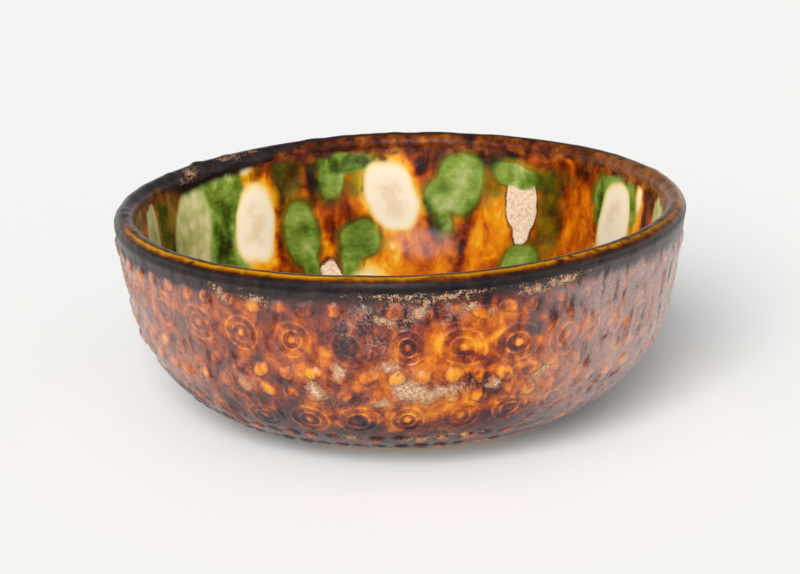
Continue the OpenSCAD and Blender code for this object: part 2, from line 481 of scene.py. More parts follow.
under_bead = 0.2
outer_outline = (
    outline_outside(bare_run, whole_len - under_bead, 104, glaze_outer)
    + outline_outside(whole_len - under_bead, bare_run, 24, -sunk)
)
outer_outline.append(outer_outline[0])
outer_glaze = spun_piece("amber_outer_glaze", outer_outline, 480)
theta, radius, height = polar(read_points(outer_glaze))
s = np.interp(radius + height, ruler_s_sum, ruler_s)
face_r, face_z = outside_points(s, glaze_outer)
on_face = np.hypot(radius - face_r, height - face_z) < glaze_outer / 2
out = np.where(on_face, glaze_outer + outside_ripple(theta, s), -sunk)
write_points(outer_glaze, from_polar(theta, *outside_points(s, out)))
write_outside_fields(outer_glaze, theta, s, radius)
write_field(outer_glaze, "raised", np.zeros(len(theta)))
write_field(outer_glaze, "pooled", np.zeros(len(theta)))
set_leaning(outer_glaze)
bpy.ops.object.shade_smooth_by_angle(angle=math.radians(40))
print(f"outer glaze: {on_face.sum()} of {len(theta)} points on the face")

# %% [markdown]
# ## Relief
# The bosses and the ringed roundels came out of the mould. One boss and one roundel are modelled flat:
# a disc is extruded and resized ring by ring, like a stack of ever smaller plates. Copies are then
# laid round the wall, each with its own mesh, and its points are wrapped onto the curved face.
# The rows aren't level on the real bowl: they sink or rise to the right, and no two bosses match.

# %% Sizes of the relief
boss_count = 64
boss_d = 3.2
base_boss_d = 2.9
boss_h = 0.95
roundel_count = 32
upper_ring_d = 8.2
lower_ring_d = 7.6
inner_share = 0.58
dot_d = 1.5
line_w = 0.5
line_h = 0.4
boss_turn = -1
roundel_turn = 1.2
base_sunk = 0.2


# %% One boss and one roundel
def stacked_tile(name, sides, rings, top):
    """Extrudes and resizes a disc through (radius, height) rings, and closes it with a raised middle."""
    first_r, first_h = rings[0]
    bpy.ops.object.select_all(action="DESELECT")
    bpy.ops.mesh.primitive_circle_add(
        vertices=sides, radius=first_r * MM, fill_type="NGON", location=(0, 0, first_h * MM)
    )
    tile = bpy.context.object
    tile.name = name
    bpy.ops.object.transform_apply(location=True, rotation=True, scale=True)
    bpy.ops.object.mode_set(mode="EDIT")
    bpy.ops.mesh.select_all(action="SELECT")
    for (r0, h0), (r1, h1) in zip(rings, rings[1:]):
        bpy.ops.mesh.extrude_region_move(TRANSFORM_OT_translate={"value": (0, 0, (h1 - h0) * MM)})
        bpy.ops.transform.resize(value=(r1 / r0, r1 / r0, 1), center_override=(0, 0, 0))
    bpy.ops.mesh.poke(offset=(top - rings[-1][1]) * MM)
    bpy.ops.mesh.select_all(action="SELECT")
    bpy.ops.mesh.normals_make_consistent(inside=False)
    bpy.ops.object.mode_set(mode="OBJECT")
    bpy.ops.object.shade_smooth()
    return tile


def boss_rings(wide):
    """A pillow with a wide soft foot, as a boss is under thick glaze."""
    r = wide / 2
    return [(1.35 * r, -base_sunk), (1.2 * r, 0.03), (1.0 * r, 0.26 * boss_h), (0.78 * r, 0.68 * boss_h),
            (0.45 * r, 0.94 * boss_h)]


def ridge(r):
    """Rings of one raised line whose outer edge has this radius, from outside to inside."""
    return [(r + 0.16, 0.05), (r - 0.08, 0.2), (r - line_w / 2, 0.9 * line_h), (r - line_w + 0.08, 0.2),
            (r - line_w - 0.16, 0.05)]


def roundel_rings(wide):
    r = wide / 2
    inner = r * inner_share
    dot = dot_d / 2
    return (
        [(r + 0.5, -base_sunk), (r + 0.3, 0.02)]
        + ridge(r)
        + ridge(inner)
        + [(dot + 0.14, 0.04), (dot - 0.1, 0.28), (dot / 2, line_h)]
    )


# %% Lay a row round the wall
def soft_side(theta):
    """How crisp the moulding is: full from the left to the front, worn down towards the right."""
    return round_the_rim(theta, [(-180, 0.8), (-100, 0.8), (-70, 0.9), (0, 1.0), (18, 0.9), (45, 0.45), (90, 0.5), (180, 0.8)])


def relief_row(name, tile_rings, sides, top, count, turn, at, wander, jitter, lobes, seed, pool_of, flatter, edge, flank):
    """Copies a tile round the wall at arc length at, moved by wander(theta), and joins the copies."""
    tile = stacked_tile(name + "_tile", sides, tile_rings, top)
    flat = read_points(tile)
    reach = np.hypot(flat[:, 0], flat[:, 1])
    dice = random.Random(seed)
    copies = []
    for i in range(count):
        theta0 = (turn + i * 360 / count + 180) % 360 - 180
        crisp = float(soft_side(theta0))
        s0 = at + wander(theta0) + dice.uniform(-1, 1) * jitter
        theta0 += math.degrees(dice.uniform(-1, 1) * jitter / 50)
        grow = dice.uniform(0.86, 1.08)
        squash = dice.uniform(0.88, 1.12)
        twist = dice.uniform(0, math.pi)
        tall = crisp * flatter * dice.uniform(0.4, 0.75)
        bright = dice.uniform(0.35, 1.0)
        outer_bright = bright * dice.uniform(0.4, 1.1)
        fade = dice.uniform(0.1, 1.0)
        cos, sin = math.cos(twist), math.sin(twist)
        a = flat[:, 0] * cos - flat[:, 1] * sin
        b = flat[:, 0] * sin + flat[:, 1] * cos
        a, b = a * grow * squash, b * grow / squash
        a, b = a * cos + b * sin, b * cos - a * sin
        around = np.arctan2(b, a)
        uneven = 1 + lobes * (np.sin(2 * around + twist) + 0.7 * np.sin(3 * around + 5 * twist))
        a, b = a * uneven, b * uneven
        s = np.clip(s0 + b, 0, whole_len)
        r0 = float(outside_points(s0, glaze_outer)[0])
        theta = theta0 + np.degrees(a / r0)
        lift = np.where(flat[:, 2] > 0, flat[:, 2] * tall, flat[:, 2])
        radius, height = outside_points(s, glaze_outer + lift + outside_ripple(theta, s))
        copy = bpy.data.objects.new(name, tile.data.copy())
        bpy.context.collection.objects.link(copy)
        write_points(copy, from_polar(theta, radius, height))
        write_outside_fields(copy, theta, s, radius)
        glow = np.where(reach < flank, bright, outer_bright)
        write_field(copy, "raised", np.clip(flat[:, 2] / top, 0, 1) ** edge * glow)
        write_field(copy, "pooled", np.interp(reach, *pool_of) * fade)
        copies.append(copy)
    bpy.data.objects.remove(tile)
    bpy.ops.object.select_all(action="DESELECT")
    for copy in copies:
        copy.select_set(True)
    bpy.context.view_layer.objects.active = copies[0]
    bpy.ops.object.join()
    row = bpy.context.object
    row.name = name
    set_leaning(row)
    bpy.ops.object.shade_smooth_by_angle(angle=math.radians(70))
    return row


# %% The five boss rows
def tilt_row(base, drop):
    """How a row wanders: base millimetres at the front, sinking by drop towards the right."""
    return lambda theta: base - drop * math.sin(math.radians(theta))


def boss_pool(wide):
    """A dark ring round a boss, by distance from its middle."""
    r = wide / 2
    return [0, 0.8 * r, 1.1 * r, 1.4 * r], [0, 0, 0.35, 0.6]


# each row: node, boss width, share of the arc length, wander at the front, drop to the right, flatness
boss_rows = [
    ("rim_boss_row", boss_d, 0.921, 0.1, 1.0, 1.0),
    ("middle_boss_row_upper", boss_d, 0.705, -0.4, 1.2, 1.1),
    ("middle_boss_row_lower", boss_d, 0.623, -0.2, 1.2, 1.1),
    ("base_boss_row_upper", base_boss_d, 0.381, 0.0, 0.3, 0.8),
    ("base_boss_row_lower", base_boss_d, 0.291, 0.0, 0.2, 0.7),
]
relief = {}
for index, (node, wide, share, base, drop, flatter) in enumerate(boss_rows):
    relief[node] = relief_row(
        node.replace("_row", "es_row"), boss_rings(wide), 12, boss_h, boss_count, boss_turn,
        share * whole_len, tilt_row(base, drop), 0.35, 0.09, 20 + index, boss_pool(wide), flatter, 0.8, 9,
    )
    print(node, "laid")


# %% The two roundel rows
def roundel_pool(wide):
    """Glaze lies dark between the raised lines and darkest round the dot."""
    r = wide / 2
    inner = r * inner_share
    stations = [0, dot_d / 2, dot_d / 2 + 0.2, inner - line_w - 0.1, inner - line_w / 2, inner + 0.2,
                r - line_w - 0.2, r - line_w / 2, r + 0.5]
    return stations, [0, 0, 0.75, 0.7, 0.0, 0.3, 0.25, 0.0, 0.0]


roundel_rows = [
    ("upper_roundels", upper_ring_d, 0.815, -0.6, 2.6),
    ("lower_roundels", lower_ring_d, 0.505, 0.8, -2.2),
]
for index, (node, wide, share, base, drop) in enumerate(roundel_rows):
    relief[node] = relief_row(
        "ringed_" + node, roundel_rings(wide), 40, line_h + 0.08, roundel_count, roundel_turn,
        share * whole_len, tilt_row(base, drop), 0.25, 0.03, 40 + index, roundel_pool(wide), 1.3, 1.0,
        wide / 2 * inner_share + 0.3,
    )
    print(node, "laid")

# %% [markdown]
# ## The splashed inside
# The inside was dabbed with a wax or clear-glaze resist where it stayed cream, and splashed with copper
# green and iron amber that ran down the wall in the kiln. The ovals below are given by angle span and
# height span of each, in degrees and millimetres. Angles run on from the front over the
# right (90) and the back (180) to the left (270). The hidden near wall and the floor carry on in the same manner.

# %% Splashes
# each splash: first angle, last angle, lowest and highest point in millimetres, tilt in degrees
cream_splashes = [
    (176.2, 188.2, 22.5, 38.3, -20),
    (211.8, 223.4, 19.6, 36.6, 10),
    (114.0, 125.7, 22.8, 38.9, 8),
    (183.5, 197.0, 6.0, 16.6, 0),
    (109.0, 111.6, 34.0, 42.0, 0),
    (216.2, 220.6, 38.6, 41.4, 0),
]
green_splashes = [
    (160.0, 171.4, 26.5, 39.5, 19),
    (166.6, 174.7, 26.6, 33.7, 21),
    (167.6, 171.5, 22.8, 28.0, -12),
    (145.5, 157.7, 32.8, 38.1, 11),
    (141.5, 153.8, 10.0, 21.8, 0),
    (185.3, 199.2, 35.7, 40.1, 5),
    (193.2, 199.6, 30.8, 40.5, 11),
    (185.2, 195.8, 18.3, 25.6, -19),
    (191.4, 196.2, 14.5, 21.5, 0),
    (201.3, 209.6, 18.2, 31.0, -3),
    (202.2, 206.4, 14.5, 22.0, 0),
    (220.0, 237.0, 14.0, 41.5, 14),
    (219.0, 237.0, 36.6, 42.0, 0),
    (111.5, 128.3, 27.7, 41.2, -18),
]
sage_splashes = [
    (231.4, 245.1, 19.0, 39.8, 19),
    (253.0, 260.8, 22.0, 41.2, 12),
    (90.0, 101.0, 26.0, 41.5, 0),
]
raw_flakes = [(145.6, 154.0, 24.2, 35.7, -4), (147.2, 151.8, 21.7, 28.0, -2), (195.8, 203.2, 8.0, 18.6, 0)]
olive_spills = [
    (203.6, 211.6, 31.8, 40.5, 0),
    (138.3, 145.2, 20.0, 36.2, 0),
    (186.5, 193.0, 30.5, 36.0, 0),
    (156.5, 161.5, 35.0, 38.6, 0),
    (154.2, 158.6, 30.4, 33.2, 25),
    (243.0, 255.0, 20.0, 41.6, 14),
    (138.0, 150.0, 34.5, 37.5, 0),
    (157.5, 161.0, 30.0, 37.0, 0),
]
# Painted highlight: soft pink-white spots on the lower far wall, where the lamp shines back from the glaze
painted_highlight_glows = [(170.0, 24.6, 1.5, 0.7), (174.0, 24.2, 1.7, 0.7), (167.4, 27.2, 1.3, 0.6)]
dark_runs = [
    (196.1, 199.1, 19.4, 28.6, -13),
    (226.3, 228.4, 24.9, 31.1, 8),
    (224.4, 230.4, 20.0, 38.0, 10),
    (187.5, 198.0, 35.6, 39.6, 5),
    (246.5, 251.0, 24.0, 41.5, 0),
    (210.2, 212.2, 20.0, 34.0, 8),
    (200.6, 202.4, 29.0, 40.0, 0),
    (170.4, 173.6, 21.5, 29.0, -25),
    (141.5, 146.0, 33.0, 36.4, 0),
    (149.5, 158.5, 38.8, 42.0, 0),
    (173.4, 176.0, 35.2, 38.0, 0),
    (125.2, 127.4, 22.0, 37.0, 0),
    (104.0, 107.0, 24.0, 41.0, 0),
    (163.8, 165.0, 17.0, 24.0, 8),
]
bright_runs = [
    (152.2, 162.4, 17.0, 31.4, 0),
    (133.0, 137.0, 20.0, 31.0, 0),
    (174.5, 191.0, 14.0, 21.5, 0),
    (194.7, 201.9, 17.9, 30.3, -13),
    (202.6, 204.6, 34.8, 37.6, 0),
    (176.0, 190.0, 38.0, 41.0, 0),
    (141.5, 150.5, 39.0, 42.0, 0),
    (108.0, 112.5, 22.0, 34.0, 0),
]
# how far over the lip the black glaze reaches, in millimetres from the crest towards the inside
black_up_to = [
    (-180, 0.9), (-160, 1.1), (-151, 2.4), (-143, 4.6), (-122, 5.6), (-110, 2.2), (-95, 1.8), (-82, 0.2),
    (-68, -1.9), (30, -2.1), (60, -2.2), (90, -2.2), (112, -0.8), (125, 0.5), (180, 0.9),
]
near_wall = random.Random(11)
for k in range(9):
    first = -96 + k * 21 + near_wall.uniform(-4, 4)
    bottom = near_wall.uniform(14, 22)
    cream_splashes.append((first, first + near_wall.uniform(9, 13), bottom + 4, bottom + 18, near_wall.uniform(-12, 12)))
    green_splashes.append((first + 11, first + 22, bottom, bottom + near_wall.uniform(12, 19), near_wall.uniform(-15, 15)))
    bright_runs.append((first + 2, first + 16, bottom - 6, bottom + 4, 0))
print(len(cream_splashes), "cream,", len(green_splashes), "green splashes on the wall")


# %% Fields of the inside
def splash_spots(splashes):
    """Turns angle and height spans into spots: angle, arc length t, half sizes in millimetres, tilt."""
    spots = []
    for first, last, bottom, top, tilt in splashes:
        low_t, high_t = np.interp([bottom, top], ruler_t_height, ruler_t)
        middle = (low_t + high_t) / 2
        radius = float(inside_points(middle, glaze_inner)[0])
        half_wide = math.radians(last - first) / 2 * radius
        spots.append(((first + last) / 2, middle, half_wide, (high_t - low_t) / 2, tilt))
    return spots


def floor_spots(count, size, seed):
    """Round dabs on the floor, whose middle no camera of the photograph sees."""
    dice = random.Random(seed)
    return [(dice.uniform(0, 360), dice.uniform(4, 30), dice.uniform(*size), dice.uniform(*size), 0) for _ in range(count)]


def splash_distance(spots, theta, t, radius, points):
    """Like spot_distance, but measured on the floor plan where the wall is nearly flat."""
    nearest = np.full(np.shape(theta), far_off)
    for centre, middle, half_wide, half_high, tilt in spots:
        right = across(theta, centre, radius)
        up = t - middle
        if middle < floor_len:
            spot = from_polar(np.array([centre]), middle, 0)[0]
            right, up = points[:, 0] - spot[0], points[:, 1] - spot[1]
        cos, sin = math.cos(math.radians(tilt)), math.sin(math.radians(tilt))
        u, v = (right * cos + up * sin) / half_wide, (up * cos - right * sin) / half_high
        oval = ((np.abs(u) ** 2.4 + np.abs(v) ** 2.4) ** (1 / 2.4) - 1) * min(half_wide, half_high)
        nearest = np.minimum(nearest, oval)
    return nearest


inside_spots = {
    "cream": splash_spots(cream_splashes) + floor_spots(6, (3, 5), 3),
    "green": splash_spots(green_splashes) + floor_spots(8, (3, 6), 4),
    "sage": splash_spots(sage_splashes),
    "olive": splash_spots(olive_spills),
    "raw": splash_spots(raw_flakes),
    "dark": splash_spots(dark_runs),
    "bright": splash_spots(bright_runs) + floor_spots(7, (3, 7), 6),
}

# %% The inner glaze
inner_outline = outline_inside(0, inside_len - under_bead, 156, glaze_inner) + outline_inside(
    inside_len - under_bead, 0, 24, slip_t / 2
)
inner_glaze = spun_piece("splashed_inner_glaze", inner_outline, 480)
points = read_points(inner_glaze)
theta, radius, height = polar(points)
t = np.interp(radius + height, ruler_t_sum, ruler_t)
face_r, face_z = inside_points(t, glaze_inner)
on_face = np.hypot(radius - face_r, height - face_z) < glaze_t / 2
fields = {name: splash_distance(spots, theta, t, radius, points) for name, spots in inside_spots.items()}
ripple = 0.05 * lumps(points, 4.0, 2)
flaked = 0.22 * smooth_step(-fields["raw"], -0.2, 0.4)
coat = np.where(on_face, glaze_inner + ripple - flaked, slip_t / 2)
write_points(inner_glaze, from_polar(theta, *inside_points(t, coat)))
for name, distance in fields.items():
    write_field(inner_glaze, name, distance)
write_field(inner_glaze, "below_rim", np.clip(inside_len - t, 0, 20))
# painted highlight spots
write_field(inner_glaze, "painted_highlight", glow_sum(painted_highlight_glows, theta, t, radius))
# Painted light: shade marks the inside walls at the left and right that the lamps reach less; there the paint, the
# green and the sage are made lighter
shaded_side = [(-180, 0), (-150, 0.2), (-135, 1), (-100, 0.9), (0, 0), (85, 0.9), (104, 0.8), (125, 0), (180, 0)]
write_field(inner_glaze, "shade", round_the_rim(theta, shaded_side))
over = crest_r * math.pi / 2 + inside_len - t
write_field(inner_glaze, "warm_side", np.clip(over - round_the_rim(theta, black_up_to), -far_off, far_off))
set_leaning(inner_glaze)
bpy.ops.object.shade_smooth_by_angle(angle=math.radians(40))
print(f"inner glaze: {on_face.sum()} points on the face")

# %% [markdown]
# Over the lip the glaze is a thick bead. At the front it is clear amber, at the back left it pooled nearly
# black and lumpy, with chips that bare the clay. Its section is a half circle over the lip. An apron down
# each side dives under the wall's own glaze, so the bead melts into the wall along a wandering line.

# %% The rim glaze
# each chip: angle, distance over the crest towards the inside, half width, half height, tilt
rim_chips = [(-125, 2.0, 1.3, 0.8, 20), (-122, 3.0, 0.8, 0.5, -30), (-139, 0.9, 2.0, 0.5, 0), (-143, 0.5, 1.2, 0.4, 0)]
apron_count = 14
proud = 0.04
apron_out = np.interp(np.linspace(rim_run, 0, apron_count), [0, 2.0, rim_run], [proud, -0.1, -0.16])
rim_outline = (
    list(zip(*outside_points(np.linspace(rim_at, whole_len, apron_count), glaze_outer + apron_out)))
    + outline_round(crest_c, crest_r + proud, 36)[1:-1]
    + list(zip(*inside_points(np.linspace(inside_len, inside_rim_at, apron_count), glaze_inner + apron_out[::-1])))
    + [inside_points(inside_rim_at, -0.3), on_arc(wall_c, wall_r - wall_t / 2, slope_top),
       outside_points(rim_at, -0.3)]
)
rim_outline.append(rim_outline[0])
rim_glaze = spun_piece("rim_glaze_bead", rim_outline, 640)
points = read_points(rim_glaze)
theta, radius, height = polar(points)
turn_over = np.degrees(np.arctan2(height - crest_c[1], radius - crest_c[0]))
side = np.where(radius > crest_c[0], -1, 1)
depth = np.clip(crest_c[1] - height, 0, None)
above = height >= crest_c[1]
over = np.where(above, np.radians(90 - turn_over) * -crest_r, side * (crest_r * math.pi / 2 + depth))
pooled_back = round_the_rim(theta, [(-180, 0.25), (-160, 0.35), (-146, 1.0), (-128, 1.0), (-112, 0.2), (0, 0.12), (150, 0.15), (180, 0.25)])
rough_lump = lumps(points, 6.5, 3) + 0.35 * lumps(points, 2.2, 4)
drips = smooth_step(-np.abs(over), -4.2, -2.4)
swelling = 1.2 * pooled_back * drips * np.clip(rough_lump + 0.15, -0.02, 1)
outward = np.column_stack([radius - crest_c[0], height - crest_c[1]])
outward /= np.maximum(np.linalg.norm(outward, axis=1, keepdims=True), 1e-6)
deep_inside = np.hypot(radius - crest_c[0], np.clip(height - crest_c[1], 0, None)) < crest_r * 0.9
swelling = np.where(deep_inside, 0, swelling)
s = np.where(radius > crest_c[0], np.interp(radius + height, ruler_s_sum, ruler_s), whole_len)
write_points(rim_glaze, from_polar(theta, radius + outward[:, 0] * swelling, height + outward[:, 1] * swelling))
write_outside_fields(rim_glaze, theta, s, radius)
write_field(rim_glaze, "raised", np.zeros(len(theta)))
write_field(rim_glaze, "pooled", np.zeros(len(theta)))
write_field(rim_glaze, "over", over)
write_field(rim_glaze, "chip", spot_distance(rim_chips, theta, over, radius))
gold = [
    (-180, 0.0), (-100, 0.0), (-84, 0.2), (-60, 1.0), (-20, 0.95), (-4, 0.75), (16, 0.7), (30, 0.85),
    (46, 0.75), (62, 0.5), (84, 0.4), (104, 0.0), (180, 0.0),
]
write_field(rim_glaze, "gold", round_the_rim(theta, gold))
# Lighter brown on the rim's right end: partly the glaze's own colour, partly a painted reflection
fair_and_reflection_side = [(-180, 0.0), (68, 0.0), (88, 1.0), (108, 0.7), (142, 0.0), (180, 0.0)]
write_field(rim_glaze, "fair_and_reflection", round_the_rim(theta, fair_and_reflection_side))
write_field(rim_glaze, "warm_side", np.clip(over - round_the_rim(theta, black_up_to), -far_off, far_off))
set_leaning(rim_glaze)
bpy.ops.object.shade_smooth_by_angle(angle=math.radians(40))

# %% [markdown]
# ## Finishes
# All finishes are built from Blender's own noise and the fields written above. A few helpers keep the
# node trees readable: each returns the socket that the next one takes. Sizes are in millimetres.


# %% Node helpers
def paint(code):
    """A colour as the eye reads it, #rrggbb, turned into the linear values that the shader takes."""
    values = [int(code[i : i + 2], 16) / 255 for i in (1, 3, 5)]
    linear = [v / 12.92 if v <= 0.04045 else ((v + 0.055) / 1.055) ** 2.4 for v in values]
    return (*linear, 1)


class Finish:
    """A new material, with short calls for its nodes."""

    def __init__(self, name):
        self.material = bpy.data.materials.new(name)
        self.material.use_nodes = True
        self.tree = self.material.node_tree
        self.shader = self.tree.nodes["Principled BSDF"]
        self.place = self.tree.nodes.new("ShaderNodeTexCoord").outputs["Object"]

    def take(self, socket, value):
        if isinstance(value, bpy.types.NodeSocket):
            self.tree.links.new(value, socket)
        else:
            socket.default_value = value

    def field(self, name):
        found = self.tree.nodes.new("ShaderNodeAttribute")
        found.attribute_name = name
        return found.outputs["Fac"]

    def sum(self, kind, a, b=0.0, c=0.0):
        step = self.tree.nodes.new("ShaderNodeMath")
        step.operation = kind
        for socket, value in zip(step.inputs, (a, b, c)):
            self.take(socket, value)
        return step.outputs[0]

    def scaled(self, value, low, high):
        """Maps a value from low..high to 0..1, with soft ends."""
        step = self.tree.nodes.new("ShaderNodeMapRange")
        step.interpolation_type = "SMOOTHSTEP"
        self.take(step.inputs["Value"], value)
        step.inputs["From Min"].default_value = low
        step.inputs["From Max"].default_value = high
        return step.outputs["Result"]

    def noise(self, size, detail=3.0, rough=0.55, stretch=1.0, twist=0.0, shift=0.0):
        """Noise from 0 to 1 whose cells have this size, drawn out upwards by stretch."""
        mapping = self.tree.nodes.new("ShaderNodeMapping")
        self.take(mapping.inputs["Vector"], self.place)
        mapping.inputs["Location"].default_value = (shift, shift, shift)
        mapping.inputs["Scale"].default_value = (1, 1, 1 / stretch)
        cells = self.tree.nodes.new("ShaderNodeTexNoise")
        self.take(cells.inputs["Vector"], mapping.outputs["Vector"])
        cells.inputs["Scale"].default_value = 1 / (size * MM)
        cells.inputs["Detail"].default_value = detail
        cells.inputs["Roughness"].default_value = rough
        cells.inputs["Distortion"].default_value = twist
        return cells.outputs["Fac"]

    def ramp(self, value, stops):
        step = self.tree.nodes.new("ShaderNodeValToRGB")
        self.take(step.inputs["Fac"], value)
        marks = step.color_ramp.elements
        while len(marks) < len(stops):
            marks.new(1)
        for mark, (position, colour) in zip(marks, stops):
            mark.position = position
            mark.color = paint(colour)
        return step.outputs["Color"]

    def mix(self, factor, a, b, kind="MIX"):
        step = self.tree.nodes.new("ShaderNodeMix")
        step.data_type = "RGBA"
        step.blend_type = kind
        self.take(step.inputs["Factor"], factor)
        self.take(step.inputs[6], a)
        self.take(step.inputs[7], b)
        return step.outputs[2]

    def blend(self, factor, a, b):
        """Blends two numbers."""
        step = self.tree.nodes.new("ShaderNodeMix")
        step.data_type = "FLOAT"
        self.take(step.inputs[0], factor)
        self.take(step.inputs[2], a)
        self.take(step.inputs[3], b)
        return step.outputs[0]

    def height(self):
        """Height over the table in metres."""
        split = self.tree.nodes.new("ShaderNodeSeparateXYZ")
        self.take(split.inputs["Vector"], self.place)
        return split.outputs["Z"]

    def toned(self, colour, tone):
        """Tones paints down, because the light on the front is stronger than plain white."""
        return self.mix(1.0, colour, paint(tone), kind="MULTIPLY")

    def bump(self, height, depth, strength=1.0):
        """Turns a height from 0 to 1 into a bump that is depth millimetres deep."""
        step = self.tree.nodes.new("ShaderNodeBump")
        step.inputs["Strength"].default_value = strength
        step.inputs["Distance"].default_value = depth * MM
        self.take(step.inputs["Height"], height)
        self.take(self.shader.inputs["Normal"], step.outputs["Normal"])


# %% [markdown]
# Amber glaze tells its thickness by its colour: a thin film over a boss is orange, a pool beside it is
# nearly black. So one number, the warmth, gathers everything that thins or thickens the film, together
# with a painted shade that darkens it towards the table, and a single colour ramp turns it into the glaze.
# Wear, a painted sheen on the flanks, the grey band under the lip and the crust lie over it.

# %% Amber glaze outside
glaze_ior = 1.45
glaze_gloss = 0.26
thin_gloss = 0.1
outside_tone = "#bababa"
inside_tone = "#d0d0d0"
# lighter paint for the inside walls in shade, a painted fill light
painted_fill_tone = "#f4f4f4"


def lip_colours(f):
    """Dark red-brown glaze that ran thin under the lip, the same on the rim and on the wall below it."""
    smear = f.noise(3.4, 5, 0.6, shift=0.2)
    return f.ramp(smear, [(0.34, "#2c120b"), (0.45, "#5c250f"), (0.56, "#8c4410"), (0.7, "#be701c")])


def crest_colours(f, colour, streak):
    """Lays the rim's own colours over the amber: black outside, honey on top at the front, brown inside, and lighter
    brown at the right end, partly the glaze's colour and partly a painted reflection.
    """
    wobble = f.sum("MULTIPLY", f.sum("SUBTRACT", streak, 0.5), 0.9)
    over = f.sum("ADD", f.field("over"), wobble)
    honey = f.ramp(f.sum("MULTIPLY_ADD", over, 0.3, 0.77), [
        (0.0, "#140809"), (0.14, "#1f0b08"), (0.26, "#4e2104"), (0.37, "#a26002"), (0.47, "#e09808"),
        (0.54, "#f6b418"), (0.61, "#bc7808"), (0.7, "#5e2e04"), (0.8, "#1c0c06"),
    ])
    golden = f.sum("MULTIPLY", f.field("gold"), f.scaled(f.sum("MULTIPLY_ADD", f.noise(1.4, 3), 0.6, streak), 0.5, 0.82))
    # lighter brown at the right end, partly a painted reflection
    fair_and_reflection = f.sum("MULTIPLY", f.field("fair_and_reflection"), f.scaled(streak, 0.2, 0.75))
    lip = f.mix(golden, f.mix(fair_and_reflection, lip_colours(f), paint("#c8844a")), honey)
    black = f.mix(0.3, f.ramp(streak, [(0.35, "#0f0b0d"), (0.65, "#261a1c")]), colour)
    crest = f.mix(f.scaled(f.sum("ADD", f.field("warm_side"), wobble), -0.6, 0.6), black, lip)
    return f.mix(f.scaled(over, -4.6, -2.8), colour, crest)


